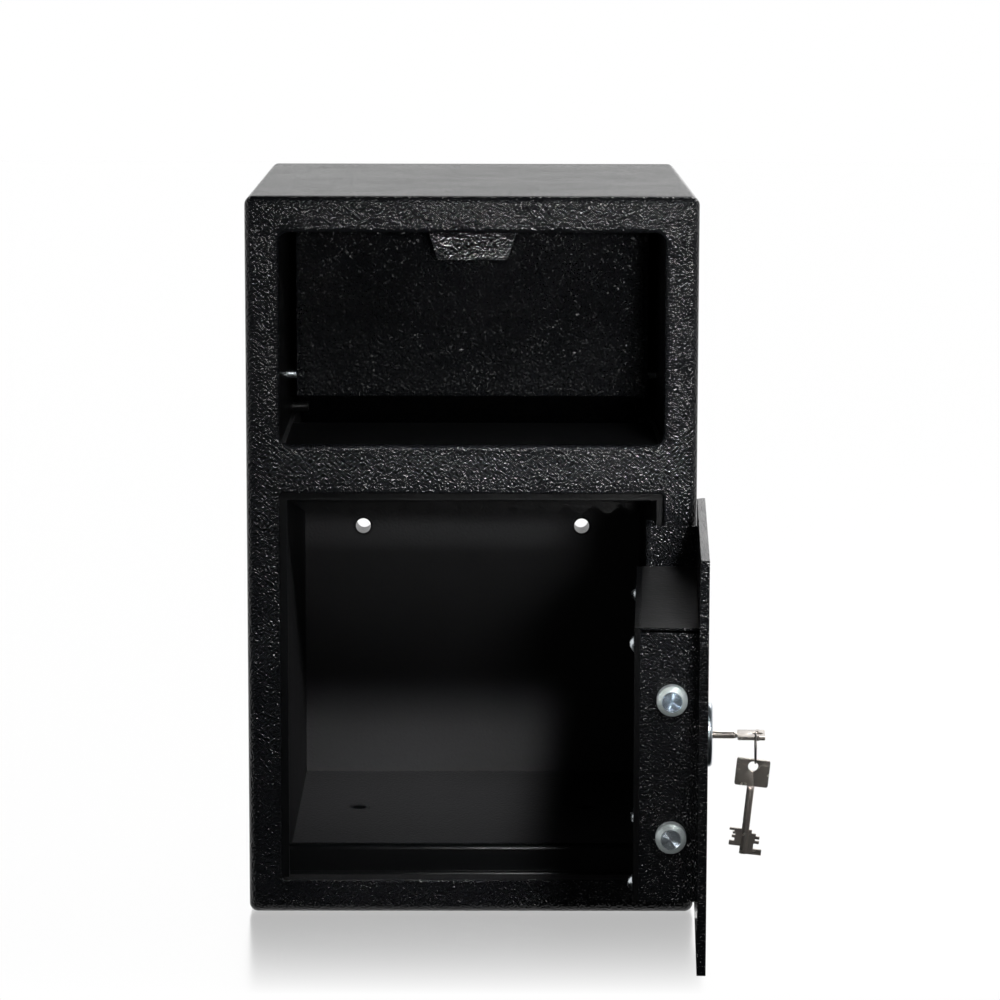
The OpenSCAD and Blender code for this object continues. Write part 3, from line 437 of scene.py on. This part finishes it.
# %% [markdown]
# ## Softened edges
# No folded sheet has a razor edge, and a coat makes edges rounder still. A rounded edge catches a thin line
# of light, which is most of what shows of a black object. A copy of each solid is merged, its flat faces are
# joined again, and a Bevel modifier rounds what is left of its corners. Flat faces are then shaded flat and
# round ones smooth. Until then the material number of a face tells them apart, because the modifier can set
# that number on the faces that it makes.

# %% Find the round faces of a solid
FLAT, ROUND = 0, 1
MERGE, CURVED_AREA = 1e-6, 2500 * MM * MM
FLAT_ANGLE, BEND_ANGLE, EDGE_ANGLE, SHARP_ANGLE = (math.radians(a) for a in (0.3, 0.5, 40, 50))


def is_curved(face):
    """Small faces that meet a neighbour at a small angle belong to a rounding."""
    bends = [edge.calc_face_angle(0) for edge in face.edges if edge.is_manifold]
    return face.calc_area() < CURVED_AREA and any(BEND_ANGLE < bend < EDGE_ANGLE for bend in bends)


def merged_copy(name):
    """A solid's mesh with joined flat faces. Each face's material number says if it is flat or round."""
    form = bmesh.new()
    form.from_mesh(solids[name].data)
    bmesh.ops.remove_doubles(form, verts=form.verts, dist=MERGE)
    bmesh.ops.dissolve_limit(form, angle_limit=FLAT_ANGLE, verts=form.verts, edges=form.edges)
    for face in form.faces:
        face.material_index = ROUND if is_curved(face) else FLAT
    mesh = bpy.data.meshes.new(name + "_form")
    form.to_mesh(mesh)
    form.free()
    # The normals that came with the solid don't fit the joined faces.
    stale = mesh.attributes.get("custom_normal")
    if stale:
        mesh.attributes.remove(stale)
    for _ in (FLAT, ROUND):
        mesh.materials.append(finish_of(name))  # a face's number has to be that of a slot
    return mesh


print("edges sharper than", round(math.degrees(EDGE_ANGLE)), "degrees will be rounded")

# %% Round the edges and shade the faces
EDGE_SEGMENTS = 2


def plain_mesh(obj):
    """Applies an object's modifiers and gives the resulting mesh."""
    shape = bpy.data.meshes.new_from_object(obj.evaluated_get(bpy.context.evaluated_depsgraph_get()))
    obj.modifiers.clear()
    return shape


def rounded(obj, width):
    """The object's mesh with edges rounded by this many millimetres."""
    round_off = obj.modifiers.new("round_off", "BEVEL")
    round_off.width, round_off.segments, round_off.material = width * MM, EDGE_SEGMENTS, ROUND
    round_off.limit_method, round_off.angle_limit = "ANGLE", EDGE_ANGLE
    return plain_mesh(obj)


def softened(name, width, others=()):
    """A softened copy that stands for a solid. others are finishes, each with a rule for its faces."""
    obj = in_scene(name + "_form", merged_copy(name))
    if width:
        obj.data = rounded(obj, width)
        obj.data.name = name + "_form"
    obj.data.set_sharp_from_angle(angle=SHARP_ANGLE)
    for face in obj.data.polygons:
        face.use_smooth = face.material_index == ROUND
        face.material_index = 0
    obj.data.materials.clear()
    obj.data.materials.append(finish_of(name))
    for number, (other, picks) in enumerate(others, 1):
        obj.data.materials.append(other)
        for face in filter(picks, obj.data.polygons):
            face.material_index = number
    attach(obj, body_of[name])
    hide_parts(name)
    return obj


# %% [markdown]
# ## Faces with a coat of their own, which is painted light
# The outer sleeve is one piece, yet its lid and its ledge look different from its frame, and so do the edges
# of the box top from its face. The lid and the ledge get lighter coats than the frame, and the box top's face
# a lighter coat than its edges: painted light, where the lamps fall on these upward faces. Each of those
# faces is found by where it lies and which way it points.

# %% Rules that pick faces
UPWARD, UPRIGHT, LID_ABOVE, LEDGE_BELOW = 0.9, 0.5, 0.5, 0.05


def on_lid(face):
    return face.normal.z > UPWARD and face.center.z > LID_ABOVE


def on_ledge(face):
    return face.normal.z > UPWARD and face.center.z < LEDGE_BELOW


def on_edge(face):
    return abs(face.normal.z) < UPRIGHT


# Painted light: the lid gets its lighter coat, and the ledge the room's lighter coat, where the lamps fall on
# them. The box top keeps the frame's coat only on its edges.
PICKED = {"outer_shell": [(finish["lid_lit_coat"], on_lid), (finish["inside_coat"], on_ledge)],
          "box_top": [(finish["powder_coat"], on_edge)]}


def soften_all(widths):
    """widths are how much is taken off the edges of each solid, in millimetres."""
    for name, width in widths.items():
        piece = softened(name, width, PICKED.get(name, ()))
        print(piece.name, len(piece.data.polygons), "faces")


print("faces are picked on", list(PICKED))

# %% The body's sheets
soften_all({"back_panel": 0.8, "door_stop": 0.4, "door_sill": 1.2, "liner_left": 0.3, "liner_right": 0.3,
            "liner_back": 0.3, "liner_floor": 0.3, "liner_ceiling": 0.3, "recess_floor": 0.5,
            "recess_side_left": 0.3, "recess_side_right": 0.3, "pocket_wall": 0.3, "outer_shell": 0.0})

# %% The door, its arm and the box around the bolt work
soften_all({"door_plate": 0.6, "hinge_arm": 0.5, "box_top": 0.5, "box_bottom": 0.4, "latch_plate": 0.5,
            "bolt_cover": 0.6, "escutcheon": 0.2})

# %% The hopper
soften_all({"hopper_panel": 0.5, "pull_lip": 0.6, "hopper_cheek_left": 0.3, "hopper_cheek_right": 0.3,
            "hopper_chute": 0.3})

# %% The bolts and the keys
soften_all({"upper_bolt": 0.3, "lower_bolt": 0.3, "key": 0.25, "spare_key": 0.25, "key_ring": 0.0})

# %% [markdown]
# ## What repeats
# The cover is held by four equal pan-head screws, and the sill is welded to the ledge with a row of small
# overlapping beads. Both could be copied by hand. Geometry Nodes do it from a few named sizes instead, so
# one number changes all screws at once. The result is baked to a plain mesh, because an export knows no
# instances.

# %% Helpers for the node trees
def geometry_tree(name, sizes, places=()):
    """A tree with a geometry output, number inputs for sizes and vector inputs for places."""
    tree = bpy.data.node_groups.new(name, "GeometryNodeTree")
    tree.interface.new_socket("Geometry", in_out="OUTPUT", socket_type="NodeSocketGeometry")
    for label in sizes:
        tree.interface.new_socket(label, in_out="INPUT", socket_type="NodeSocketFloat")
    for label in places:
        tree.interface.new_socket(label, in_out="INPUT", socket_type="NodeSocketVector")
    return tree, add(tree, "NodeGroupInput").outputs


def finished_tree(tree, geometry, material):
    """Ends a tree: instances become real, faces become smooth, and the finish goes on."""
    real = add(tree, "GeometryNodeRealizeInstances", {0: geometry}).outputs[0]
    smooth = add(tree, "GeometryNodeSetShadeSmooth", {0: real}).outputs[0]
    painted = add(tree, "GeometryNodeSetMaterial", {"Geometry": smooth, "Material": material}).outputs[0]
    add(tree, "NodeGroupOutput", {0: painted})


def grown(name, tree, values, node, smooth):
    """A plain mesh that the tree makes of these values, on a node's body; smooth is an angle in degrees."""
    obj = in_scene(name, bpy.data.meshes.new(name))
    grow = obj.modifiers.new("grow", "NODES")
    grow.node_group = tree
    for item in tree.interface.items_tree:
        if item.item_type == "SOCKET" and item.in_out == "INPUT":
            grow[item.identifier] = values[item.name]
    obj.data = plain_mesh(obj)
    obj.data.name = name
    obj.data.set_sharp_from_angle(angle=math.radians(smooth))
    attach(obj, body_of[node])
    return obj


# %% [markdown]
# ## The cover screws
# A pan head is a low cylinder with a domed top and a crossed slot. The tree lifts the top of a disc by the
# rule of a parabola, cuts the slot with two bars, adds the shank and puts the screw on the corners of a
# grid.

# %% The domed and slotted head
HEAD_SIDES, HEAD_RINGS, SHANK_SIDES = 48, 8, 32
tree, given = geometry_tree("cover_screw_tree", ("Head Radius", "Rim Height", "Dome Height", "Slot Length",
                                                 "Slot Width", "Slot Depth", "Shank Radius", "Shank Length",
                                                 "Pitch Along", "Pitch Up"), ("Place", "Turn"))
disc_sizes = {"Vertices": HEAD_SIDES, "Side Segments": 1, "Fill Segments": HEAD_RINGS,
              "Radius": given["Head Radius"], "Depth": given["Rim Height"]}
disc = add(tree, "GeometryNodeMeshCylinder", disc_sizes, fill_type="TRIANGLE_FAN").outputs[0]
spot = add(tree, "ShaderNodeSeparateXYZ", {0: add(tree, "GeometryNodeInputPosition").outputs[0]}).outputs
flat = add(tree, "ShaderNodeCombineXYZ", {0: spot[0], 1: spot[1]}).outputs[0]
out_from_axis = add(tree, "ShaderNodeVectorMath", {0: flat}, operation="LENGTH").outputs["Value"]
part = maths(tree, "DIVIDE", out_from_axis, given["Head Radius"])
crown = maths(tree, "MULTIPLY", maths(tree, "SUBTRACT", 1.0, maths(tree, "MULTIPLY", part, part)),
              given["Dome Height"])
on_top = add(tree, "FunctionNodeCompare", {0: spot[2], 1: 0.0}, operation="GREATER_THAN").outputs[0]
lift = add(tree, "ShaderNodeCombineXYZ", {2: crown}).outputs[0]
domed = add(tree, "GeometryNodeSetPosition", {"Geometry": disc, "Selection": on_top, "Offset": lift})
cut = add(tree, "GeometryNodeMeshBoolean", {"Mesh 1": domed.outputs[0]}, operation="DIFFERENCE")
deep = maths(tree, "MULTIPLY", given["Slot Depth"], 2.0)
crest = maths(tree, "ADD", given["Dome Height"], given["Rim Height"])
raised = add(tree, "ShaderNodeCombineXYZ", {2: crest}).outputs[0]
for first, second in (("Slot Length", "Slot Width"), ("Slot Width", "Slot Length")):
    block = add(tree, "ShaderNodeCombineXYZ", {0: given[first], 1: given[second], 2: deep}).outputs[0]
    bar = add(tree, "GeometryNodeMeshCube", {"Size": block}).outputs[0]
    bar = add(tree, "GeometryNodeTransform", {"Geometry": bar, "Translation": raised}).outputs[0]
    tree.links.new(bar, cut.inputs["Mesh 2"])
print("screw head:", len(tree.nodes), "nodes")

# %% The shank, and one screw on each corner
shank = add(tree, "GeometryNodeMeshCylinder", {"Vertices": SHANK_SIDES, "Radius": given["Shank Radius"],
                                               "Depth": given["Shank Length"]}).outputs[0]
down = maths(tree, "MULTIPLY", given["Shank Length"], -0.5)
sunk = add(tree, "ShaderNodeCombineXYZ", {2: down}).outputs[0]
shank = add(tree, "GeometryNodeTransform", {"Geometry": shank, "Translation": sunk}).outputs[0]
screw = add(tree, "GeometryNodeJoinGeometry")
for piece in (cut.outputs[0], shank):
    tree.links.new(piece, screw.inputs[0])
corners = add(tree, "GeometryNodeMeshGrid", {"Size X": given["Pitch Along"], "Size Y": given["Pitch Up"],
                                             "Vertices X": 2, "Vertices Y": 2}).outputs[0]
four = add(tree, "GeometryNodeInstanceOnPoints", {"Points": corners, "Instance": screw.outputs[0]})
placed = add(tree, "GeometryNodeTransform", {"Geometry": four.outputs[0], "Translation": given["Place"],
                                             "Rotation": given["Turn"]})
finished_tree(tree, placed.outputs[0], finish["zinc"])
print("screw tree:", len(tree.nodes), "nodes")

# %% Grow the four cover screws
SCREW_X, SCREW_Z, COVER_OUT, RIM = (-110, 92), (90.5, 265.5), 52.5, 0.7
SCREW_SMOOTH = 35
screw_sizes = {
    "Head Radius": 6 * MM, "Rim Height": RIM * MM, "Dome Height": 3.2 * MM, "Slot Length": 6.4 * MM,
    "Slot Width": 1.2 * MM, "Slot Depth": 2.0 * MM, "Shank Radius": 2.4 * MM, "Shank Length": 13.9 * MM,
    "Pitch Along": (SCREW_X[1] - SCREW_X[0]) * MM, "Pitch Up": (SCREW_Z[1] - SCREW_Z[0]) * MM,
    "Place": door_place(sum(SCREW_X) / 2, COVER_OUT + RIM / 2, sum(SCREW_Z) / 2),
    "Turn": (math.radians(-90), 0, math.radians(DOOR_OPEN))}
screws = grown("pan_head_screws", tree, screw_sizes, "cover_screws", SCREW_SMOOTH)
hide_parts("cover_screws")
print(screws.name, len(screws.data.polygons), "faces")

# %% [markdown]
# ## The weld along the sill
# A weld is a row of drops that have run into each other. Balls on a line would look like pearls, so each is
# moved and resized a little at random, with a fixed seed, and they lie closer than they are wide.

# %% The weld's tree
BEAD_LEAST, BEAD_MOST = (0.7, 0.85, 0.85), (0.95, 1.1, 1.1)
PLACE_SEED, SIZE_SEED = 7, 11
tree, given = geometry_tree("weld_tree", ("Length", "Pitch", "Bead Radius", "Wander"), ("Place",))
count = maths(tree, "DIVIDE", given["Length"], given["Pitch"])
start = add(tree, "ShaderNodeCombineXYZ", {0: maths(tree, "MULTIPLY", given["Length"], -0.5)}).outputs[0]
step = add(tree, "ShaderNodeCombineXYZ", {0: given["Pitch"]}).outputs[0]
line = add(tree, "GeometryNodeMeshLine", {"Count": count, "Start Location": start, "Offset": step})
low = maths(tree, "MULTIPLY", given["Wander"], -1.0)
shift = add(tree, "FunctionNodeRandomValue", {"Min": low, "Max": given["Wander"], "Seed": PLACE_SEED},
            data_type="FLOAT_VECTOR").outputs[0]
strewn = add(tree, "GeometryNodeSetPosition", {"Geometry": line.outputs[0], "Offset": shift}).outputs[0]
bead = add(tree, "GeometryNodeMeshIcoSphere", {"Radius": given["Bead Radius"], "Subdivisions": 2}).outputs[0]
size = add(tree, "FunctionNodeRandomValue", {"Min": BEAD_LEAST, "Max": BEAD_MOST, "Seed": SIZE_SEED},
           data_type="FLOAT_VECTOR").outputs[0]
row = add(tree, "GeometryNodeInstanceOnPoints", {"Points": strewn, "Instance": bead, "Scale": size})
placed = add(tree, "GeometryNodeTransform", {"Geometry": row.outputs[0], "Translation": given["Place"]})
finished_tree(tree, placed.outputs[0], finish["smooth_coat"])
print("weld tree:", len(tree.nodes), "nodes")

# %% Grow the weld along the sill's foot
LEDGE_DEEP, LEDGE_UP, WELD_LONG = 18, 27, 284
WELD_SMOOTH = 180
weld_sizes = {"Length": WELD_LONG * MM, "Pitch": 2.3 * MM, "Bead Radius": 2.2 * MM, "Wander": 0.25 * MM,
              "Place": Vector((0, LEDGE_DEEP * MM - BODY_DEEP / 2, LEDGE_UP * MM))}
weld = grown("sill_weld", tree, weld_sizes, "door_sill", WELD_SMOOTH)
print(weld.name, len(weld.data.polygons), "faces")
